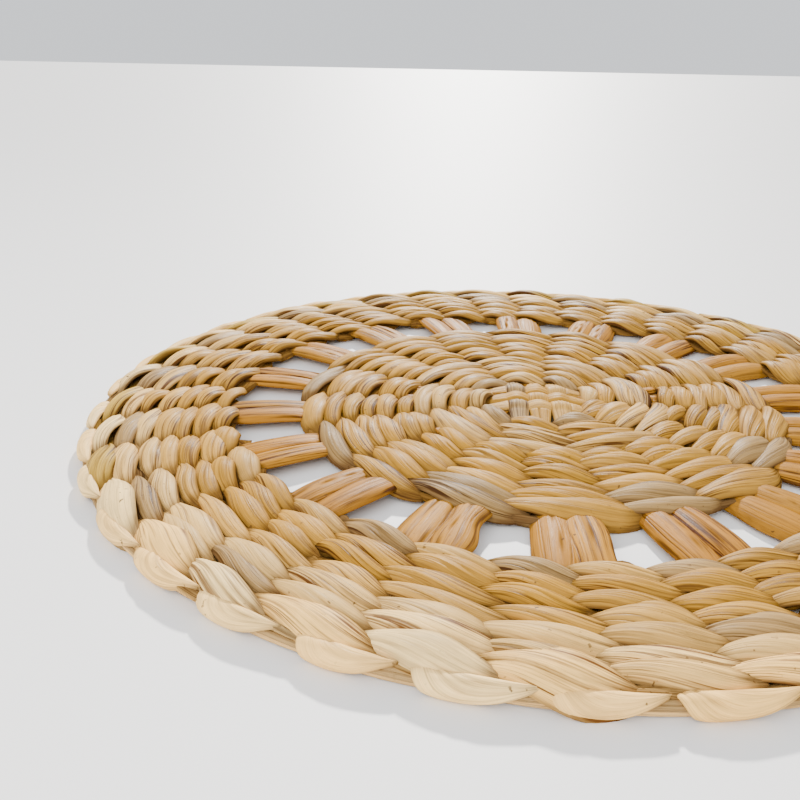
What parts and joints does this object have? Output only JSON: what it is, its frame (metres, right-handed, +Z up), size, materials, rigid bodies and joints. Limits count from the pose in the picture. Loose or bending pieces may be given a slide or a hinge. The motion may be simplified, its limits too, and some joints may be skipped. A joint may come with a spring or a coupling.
{
  "type": "water hyacinth placemat",
  "caption": "Round flat placemat of flattened plant strands twined over radial spokes, with an open ring of paired spokes, a scalloped turned-over edge and a thin rim cord.",
  "frame": {"origin": "centre of the underside, on the surface the mat rests on", "axes": "+Z up, through the mat's thickness"},
  "size_m": [0.3694, 0.3694, 0.009],
  "materials": {
    "hyacinth": "dried flattened water hyacinth, straw to golden, fine lengthwise fibres, softly waxy",
    "stems": "bundle of thin dried stems, pale brown, matt"
  },
  "bodies": {
    "root": {"woven_mat": "hyacinth", "rim_cord": "stems"}
  },
  "joints": []
}
